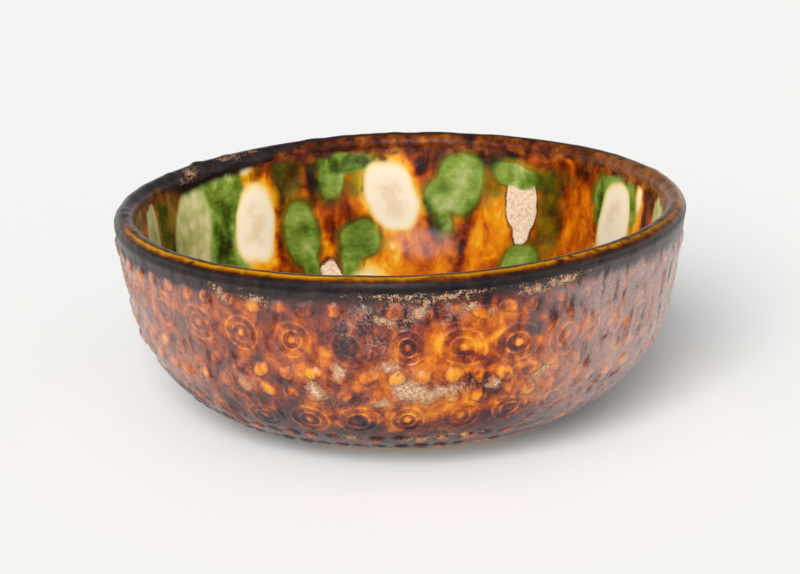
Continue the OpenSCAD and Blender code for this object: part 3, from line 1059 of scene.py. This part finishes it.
def outside_finish(name, with_crest=False):
    f = Finish(name)
    cloud = f.noise(7.0, 3, 0.55, twist=0.8)
    streak = f.noise(2.6, 3, 0.55, stretch=1.5, twist=0.5, shift=0.3)
    speck = f.noise(0.6, 3, 0.65, shift=0.7)
    grain = f.noise(0.24, 2, 0.6, shift=0.9)
    patchy = f.sum("MULTIPLY_ADD", cloud, 0.5, streak)
    raised = f.sum("MULTIPLY", f.field("raised"), f.scaled(patchy, 0.5, 0.85))
    warmth = f.sum("MULTIPLY_ADD", f.sum("SUBTRACT", cloud, 0.5), 1.1, 0.49)
    warmth = f.sum("MULTIPLY_ADD", f.sum("SUBTRACT", streak, 0.5), 1.2, warmth)
    warmth = f.sum("MULTIPLY_ADD", f.field("ember"), 0.26, warmth)
    warmth = f.sum("MULTIPLY_ADD", raised, 0.42, warmth)
    warmth = f.sum("MULTIPLY_ADD", f.field("pooled"), -0.42, warmth)
    warmth = f.sum("MULTIPLY_ADD", f.sum("SUBTRACT", speck, 0.5), 0.25, warmth)
    low_down = f.scaled(f.height(), 0.02, 0.003)
    high_up = f.scaled(f.height(), 0.032, 0.038)
    # Painted shade: the glaze is made darker towards the table, where the shadow under the bowl falls
    warmth = f.sum("MULTIPLY_ADD", low_down, -0.34, warmth)
    warmth = f.sum("MULTIPLY_ADD", high_up, -0.14, warmth)
    colour = f.ramp(warmth, [
        (0.0, "#150b12"), (0.18, "#321218"), (0.33, "#5e1f1a"), (0.48, "#8c3517"),
        (0.62, "#bc540c"), (0.8, "#e27a0a"), (1.0, "#f8a728"),
    ])
    worn = f.sum("MULTIPLY", f.field("worn"), f.scaled(f.sum("MULTIPLY_ADD", streak, 0.5, speck), 0.68, 0.84))
    worn = f.sum("MULTIPLY", worn, 0.85)
    colour = f.mix(worn, colour, f.ramp(grain, [(0.32, "#3a2d2e"), (0.5, "#7c6c6a"), (0.64, "#c2b4ae")]))
    # Painted sheen: pale pinkish grey laid over the flanks where the glaze reflects the bright room, weaker towards
    # the table
    painted_sheen_run = f.noise(1.8, 3, 0.5, stretch=3.0, twist=0.3, shift=0.6)
    painted_sheen = f.sum("MULTIPLY", f.field("painted_sheen"), f.scaled(painted_sheen_run, 0.26, 0.54))
    painted_sheen = f.sum("MULTIPLY", painted_sheen, f.sum("MULTIPLY_ADD", low_down, -0.7, 1.0))
    colour = f.mix(painted_sheen, colour, paint("#e2c6bc"))
    band_edge = f.sum("MULTIPLY_ADD", f.sum("SUBTRACT", streak, 0.5), 5.0, f.field("band"))
    band_edge = f.sum("MULTIPLY_ADD", f.sum("SUBTRACT", speck, 0.5), 1.2, band_edge)
    band_edge = f.sum("MULTIPLY_ADD", raised, -3.0, band_edge)
    band = f.scaled(band_edge, -1.4, 1.0)
    colour = f.mix(band, colour, f.ramp(patchy, [(0.55, "#171316"), (0.75, "#2a2324"), (0.95, "#45322a")]))
    # Painted sheen: on the flanks the dark band under the lip is greyed as well
    colour = f.mix(f.sum("MULTIPLY", f.sum("MULTIPLY", band, painted_sheen), 0.4), colour, paint("#a89c98"))
    rough = f.blend(band, f.sum("MULTIPLY_ADD", speck, 0.2, 0.16), 0.34)
    crust_field = f.field("crust")
    if with_crest:
        colour = crest_colours(f, colour, streak)
        on_bead = f.scaled(f.field("over"), -4.4, -3.4)
        rough = f.blend(on_bead, rough, 0.36)
        crust_field = f.sum("MINIMUM", f.sum("MULTIPLY_ADD", on_bead, 1.6, crust_field), f.field("chip"))
    crust_edge = f.sum("MULTIPLY_ADD", f.sum("SUBTRACT", f.noise(1.3, 2, 0.5, shift=0.1), 0.5), 3.0, crust_field)
    crust_edge = f.sum("MULTIPLY_ADD", f.sum("SUBTRACT", speck, 0.5), 4.6, crust_edge)
    crust_edge = f.sum("MULTIPLY_ADD", f.sum("SUBTRACT", grain, 0.5), 3.6, crust_edge)
    crust = f.scaled(crust_edge, 0.05, -0.25)
    colour = f.mix(crust, colour, f.ramp(speck, [(0.3, "#9a6a48"), (0.48, "#cf9f78"), (0.66, "#f8dcbc")]))
    rough = f.blend(worn, rough, 0.45)
    rough = f.blend(crust, rough, 0.9)
    f.take(f.shader.inputs["Base Color"], f.toned(colour, outside_tone))
    f.take(f.shader.inputs["Roughness"], rough)
    f.shader.inputs["IOR"].default_value = glaze_ior
    f.shader.inputs["Specular IOR Level"].default_value = thin_gloss if with_crest else glaze_gloss
    f.shader.inputs["Sheen Weight"].default_value = 0.03
    f.shader.inputs["Sheen Roughness"].default_value = 0.35
    f.shader.inputs["Sheen Tint"].default_value = paint("#f4d8d0")
    relief_height = f.sum("MULTIPLY_ADD", crust, 0.8, f.sum("MULTIPLY", speck, 0.35))
    relief_height = f.sum("MULTIPLY_ADD", streak, 0.7, relief_height)
    f.bump(relief_height, 0.14, 0.8)
    return f.material


amber_outside = outside_finish("amber_glaze_outside")
amber_relief = outside_finish("amber_glaze_over_relief")
rim_bead = outside_finish("rim_glaze_with_crest", with_crest=True)

# %% [markdown]
# Inside, the splashes are painted in the order in which they show: amber first, brown runs and bright runs
# in it, green with an olive fringe, cream with its yellow halo, and the bare flakes last. Noise
# added to each distance field makes the edges bleed as glaze does.


# %% Splashed glaze inside
def inside_finish(name):
    f = Finish(name)
    cloud = f.noise(7.0, 4, 0.55, stretch=1.5, twist=0.6)
    run = f.noise(3.2, 4, 0.55, stretch=1.8, twist=0.7, shift=0.2)
    soft = f.noise(3.6, 3, 0.5, shift=0.5)
    speck = f.noise(0.7, 3, 0.6, shift=0.8)
    fine = f.sum("MULTIPLY", f.sum("SUBTRACT", speck, 0.5), 0.3)
    wobble = f.sum("MULTIPLY_ADD", f.sum("SUBTRACT", soft, 0.5), 2.0, fine)
    swell = f.sum("MULTIPLY", f.sum("SUBTRACT", f.noise(4.5, 0.5, 0.4, shift=0.6), 0.5), 1.6)
    bright = f.scaled(f.sum("ADD", f.field("bright"), wobble), 1.4, -1.8)
    dark = f.scaled(f.sum("ADD", f.field("dark"), wobble), 1.0, -0.9)
    cream_edge = f.sum("ADD", f.field("cream"), f.sum("MULTIPLY_ADD", fine, 0.4, swell))
    green_edge = f.sum("ADD", f.field("green"), wobble)
    halo = f.scaled(cream_edge, 2.4, 0.1)
    below = f.sum("MULTIPLY_ADD", f.sum("SUBTRACT", soft, 0.5), 6.0, f.field("below_rim"))
    warmth = f.sum("MULTIPLY_ADD", f.sum("SUBTRACT", cloud, 0.5), 0.9, 0.49)
    warmth = f.sum("MULTIPLY_ADD", f.sum("SUBTRACT", run, 0.5), 1.0, warmth)
    warmth = f.sum("MULTIPLY_ADD", f.sum("SUBTRACT", speck, 0.5), 0.14, warmth)
    warmth = f.sum("MULTIPLY_ADD", bright, 0.25, warmth)
    warmth = f.sum("MULTIPLY_ADD", dark, -0.42, warmth)
    warmth = f.sum("MULTIPLY_ADD", f.scaled(below, 6.5, 1.5), -0.2, warmth)
    warmth = f.sum("MULTIPLY_ADD", halo, 0.42, warmth)
    colour = f.ramp(warmth, [
        (0.0, "#1c0b06"), (0.2, "#4a1604"), (0.38, "#8c3002"), (0.55, "#c65a02"),
        (0.72, "#ea8402"), (0.88, "#f7aa18"), (1.0, "#fdd862"),
    ])
    spill = f.scaled(f.sum("ADD", f.field("olive"), wobble), 1.6, -1.2)
    fringe = f.sum("MULTIPLY", f.scaled(green_edge, 1.7, 0.0), 0.85)
    fringe = f.sum("MAXIMUM", fringe, f.sum("MULTIPLY", spill, 0.8))
    moss_tone = f.sum("MULTIPLY_ADD", soft, 0.5, f.sum("MULTIPLY", cloud, 0.5))
    moss = f.ramp(moss_tone, [(0.36, "#242606"), (0.46, "#454a08"), (0.56, "#6a6c10"), (0.66, "#968a18")])
    colour = f.mix(fringe, colour, moss)
    brush = f.noise(1.6, 3, 0.6, stretch=0.35, shift=0.4)
    leaf_tone = f.sum("MULTIPLY_ADD", soft, 0.4, f.sum("MULTIPLY", cloud, 0.5))
    leaf_tone = f.sum("MULTIPLY_ADD", brush, 0.1, leaf_tone)
    leaf_tone = f.sum("MULTIPLY_ADD", f.sum("SUBTRACT", speck, 0.5), 0.06, leaf_tone)
    # painted light: lighter green on the walls in shade
    leaf_tone = f.sum("MULTIPLY_ADD", f.field("shade"), 0.03, leaf_tone)
    leaf_tone = f.sum("MULTIPLY_ADD", dark, -0.14, leaf_tone)
    leaf = f.ramp(leaf_tone, [
        (0.3, "#262c08"), (0.38, "#465c14"), (0.46, "#6a8428"), (0.54, "#8ba242"), (0.64, "#b8c078"),
    ])
    raw_wobble = f.sum("MULTIPLY_ADD", f.sum("SUBTRACT", speck, 0.5), 0.7, f.sum("MULTIPLY", wobble, 0.4))
    raw_edge = f.sum("ADD", f.field("raw"), raw_wobble)
    colour = f.mix(f.sum("MULTIPLY", f.scaled(raw_edge, 0.5, 0.15), 0.8), colour, paint("#42200c"))
    raw = f.scaled(raw_edge, 0.1, -0.1)
    colour = f.mix(raw, colour, f.ramp(speck, [(0.3, "#e2b48a"), (0.5, "#f7dcba"), (0.7, "#fff0d8")]))
    leafy = f.scaled(green_edge, 0.25, -0.5)
    colour = f.mix(leafy, colour, leaf)
    sage_tone = f.sum("MULTIPLY_ADD", soft, 0.6, f.sum("MULTIPLY", cloud, 0.4))
    # painted light: lighter sage on the walls in shade
    sage_tone = f.sum("MULTIPLY_ADD", f.field("shade"), 0.05, sage_tone)
    sage = f.ramp(sage_tone, [(0.38, "#9aa456"), (0.5, "#bcbe74"), (0.62, "#dcd69c")])
    colour = f.mix(f.scaled(f.sum("ADD", f.field("sage"), wobble), 0.5, -0.7), colour, sage)
    heart = f.sum("MULTIPLY", f.scaled(cream_edge, -1.4, -3.6), f.scaled(soft, 0.35, 0.62))
    paste = f.mix(f.sum("MULTIPLY", heart, 0.6), paint("#fff0d2"), paint("#eaca9c"))
    paste = f.mix(f.scaled(cream_edge, -1.2, -0.1), paste, paint("#fade98"))
    honeyed = f.sum("MULTIPLY", f.scaled(cream_edge, 1.6, 0.1), f.scaled(run, 0.42, 0.56))
    honeyed = f.sum("MULTIPLY", honeyed, f.sum("SUBTRACT", 1.0, leafy))
    colour = f.mix(f.sum("MULTIPLY", honeyed, 0.75), colour, paint("#f4b41c"))
    cream = f.scaled(cream_edge, 0.4, -0.5)
    colour = f.mix(cream, colour, paste)
    colour = f.mix(f.scaled(below, 2.4, 0.8), colour, lip_colours(f))
    pooled = f.scaled(f.sum("MULTIPLY_ADD", wobble, 0.8, f.field("warm_side")), 1.6, -0.6)
    colour = f.mix(pooled, colour, paint("#17100e"))
    # Painted highlight: pink-white laid over the splashes at these spots
    painted_highlight = f.sum("MULTIPLY", f.field("painted_highlight"), f.scaled(f.sum("MULTIPLY_ADD", speck, 0.4, soft), 0.55, 0.85))
    colour = f.mix(painted_highlight, colour, paint("#fbdcd6"))
    # Painted light: the paint is lightened on the inside walls that the lamps reach less
    tone = f.mix(f.field("shade"), paint(inside_tone), paint(painted_fill_tone))
    f.take(f.shader.inputs["Base Color"], f.mix(1.0, colour, tone, kind="MULTIPLY"))
    rough = f.blend(cream, f.sum("MULTIPLY_ADD", speck, 0.1, 0.1), 0.22)
    bare = f.sum("MULTIPLY", raw, f.sum("SUBTRACT", 1.0, leafy))
    f.take(f.shader.inputs["Roughness"], f.blend(bare, rough, 0.85))
    f.shader.inputs["IOR"].default_value = glaze_ior
    f.shader.inputs["Specular IOR Level"].default_value = thin_gloss
    f.bump(f.sum("MULTIPLY_ADD", soft, 0.7, f.sum("MULTIPLY", speck, 0.2)), 0.12, 0.6)
    return f.material


splashed_inside = inside_finish("three_colour_glaze_inside")


# %% [markdown]
# Bare clay and slip hardly show, but the underside is seen when the bowl is turned over. The clay is a
# buff, sandy paste with turning marks and soil in its pores.


# %% Clay and slip
def dry_finish(name, low, middle, high, size, depth):
    f = Finish(name)
    broad = f.noise(size * 6, 4, 0.6)
    grit = f.noise(size, 4, 0.7, shift=0.4)
    tone = f.sum("MULTIPLY_ADD", grit, 0.6, f.sum("MULTIPLY", broad, 0.4))
    f.take(f.shader.inputs["Base Color"], f.ramp(tone, [(0.35, low), (0.5, middle), (0.64, high)]))
    f.shader.inputs["Roughness"].default_value = 0.85
    f.bump(grit, depth, 0.8)
    return f.material


bare_clay = dry_finish("buff_fired_clay", "#8a6a4c", "#b8946c", "#d2b48c", 0.5, 0.12)
pale_slip = dry_finish("fired_white_slip", "#d8c8a8", "#e8dcc4", "#f2ead8", 0.4, 0.04)

# %% [markdown]
# Every piece now gets its finish and rides on the one body. The slip coat is hidden between clay and inner
# glaze, and its CAD solid has the right shape, so it stays and only takes a finish.

# %% Put it together
finish_piece(clay_body, ["clay_body"], bare_clay)
finish_piece(outer_glaze, ["outer_glaze"], amber_outside)
finish_piece(inner_glaze, ["inner_glaze"], splashed_inside)
finish_piece(rim_glaze, ["rim_glaze"], rim_bead)
for node, row in relief.items():
    finish_piece(row, [node], amber_relief)
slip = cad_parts["slip_coat"]
slip.data.materials.clear()
slip.data.materials.append(pale_slip)

# %% [markdown]
# ## Table, light and camera
# The bowl stands on a pale seamless table. Its shadow runs back and to the right and the table is bright
# right up to its foot, so most of the light comes from the front, low and a little from the left: a
# broad card and a soft key. The bright horizon of the room gives part of the pale sheen on both flanks;
# the rest is a painted sheen in the outside glaze.

# %% The table
table_size = 6.0
bpy.ops.object.select_all(action="DESELECT")
bpy.ops.mesh.primitive_plane_add(size=table_size, location=(0, 0, -0.02 * MM))
table = bpy.context.object
table.name = "pale_table"
bpy.ops.object.transform_apply(location=True, rotation=True, scale=True)
table_finish = Finish("pale_table")
table_finish.take(table_finish.shader.inputs["Base Color"], paint("#f8f8f6"))
table_finish.shader.inputs["Roughness"].default_value = 0.9
table_finish.shader.inputs["Specular IOR Level"].default_value = 0.2
table.data.materials.append(table_finish.material)

# %% Light
key_azimuth = -12
key_elevation = 30
room_level = 0.2
horizon_level = 6.4
card_level = 0.6


def direction_of(azimuth, elevation):
    """A direction by its angle from the front towards the right and its height, both in degrees."""
    around, up = math.radians(azimuth), math.radians(elevation)
    return Vector((math.sin(around) * math.cos(up), -math.cos(around) * math.cos(up), math.sin(up)))


def world_step(tree, value, low, high, height):
    """A soft step from 0 to height while the value runs from low to high."""
    step = tree.nodes.new("ShaderNodeMapRange")
    step.interpolation_type = "SMOOTHSTEP"
    tree.links.new(value, step.inputs["Value"])
    step.inputs["From Min"].default_value = low
    step.inputs["From Max"].default_value = high
    step.inputs["To Max"].default_value = height
    return step.outputs["Result"]


def studio_world(name):
    """A dim room with a bright horizon, a little weaker at the back, and a broad white card in front."""
    world = bpy.data.worlds.new(name)
    world.use_nodes = True
    tree = world.node_tree
    seen = tree.nodes.new("ShaderNodeTexCoord").outputs["Generated"]
    split = tree.nodes.new("ShaderNodeSeparateXYZ")
    tree.links.new(seen, split.inputs["Vector"])
    facing = tree.nodes.new("ShaderNodeVectorMath")
    facing.operation = "DOT_PRODUCT"
    tree.links.new(seen, facing.inputs[0])
    facing.inputs[1].default_value = direction_of(key_azimuth, key_elevation)
    card = world_step(tree, facing.outputs["Value"], 0.62, 0.93, card_level)
    low = world_step(tree, split.outputs["Z"], 0.3, 0.0, horizon_level)
    ahead = world_step(tree, split.outputs["Y"], 0.7, -0.2, 0.65)
    shared = tree.nodes.new("ShaderNodeMath")
    tree.links.new(ahead, shared.inputs[0])
    shared.inputs[1].default_value = 0.35
    horizon = tree.nodes.new("ShaderNodeMath")
    horizon.operation = "MULTIPLY"
    tree.links.new(low, horizon.inputs[0])
    tree.links.new(shared.outputs[0], horizon.inputs[1])
    both = tree.nodes.new("ShaderNodeMath")
    tree.links.new(card, both.inputs[0])
    tree.links.new(horizon.outputs[0], both.inputs[1])
    total = tree.nodes.new("ShaderNodeMath")
    tree.links.new(both.outputs[0], total.inputs[0])
    total.inputs[1].default_value = room_level
    background = tree.nodes["Background"]
    background.inputs["Color"].default_value = (1, 1, 1, 1)
    tree.links.new(total.outputs[0], background.inputs["Strength"])
    return world


bpy.context.scene.world = studio_world("studio_room")


def aim(lamp, place, target):
    """Puts a lamp or camera at a place in millimetres and points it at a target."""
    lamp.location = Vector(place) * MM
    direction = (Vector(target) - Vector(place)).normalized()
    lamp.rotation_euler = direction.to_track_quat("-Z", "Y").to_euler()


key_data = bpy.data.lights.new("key", "SUN")
key_data.energy = 3.4
key_data.angle = math.radians(28)
key = bpy.data.objects.new("key", key_data)
bpy.context.collection.objects.link(key)
aim(key, direction_of(key_azimuth, key_elevation) * 1000, (0, 0, 0))

# %% Camera
eye_distance = 672
eye_elevation = 16.56
eye_target = (1.05, 0, 21.86)
lens_mm = 152.87
shift_right = -0.00568
shift_up = 0.01966
camera_data = bpy.data.cameras.new("camera")
camera_data.lens = lens_mm
camera_data.sensor_width = 36
camera_data.shift_x = shift_right
camera_data.shift_y = shift_up
camera_data.clip_start = 0.01
camera = bpy.data.objects.new("camera", camera_data)
bpy.context.collection.objects.link(camera)
elevation = math.radians(eye_elevation)
eye = (
    eye_target[0],
    eye_target[1] - eye_distance * math.cos(elevation),
    eye_target[2] + eye_distance * math.sin(elevation),
)
aim(camera, eye, eye_target)
bpy.context.scene.camera = camera
bpy.context.scene.view_settings.view_transform = "Standard"
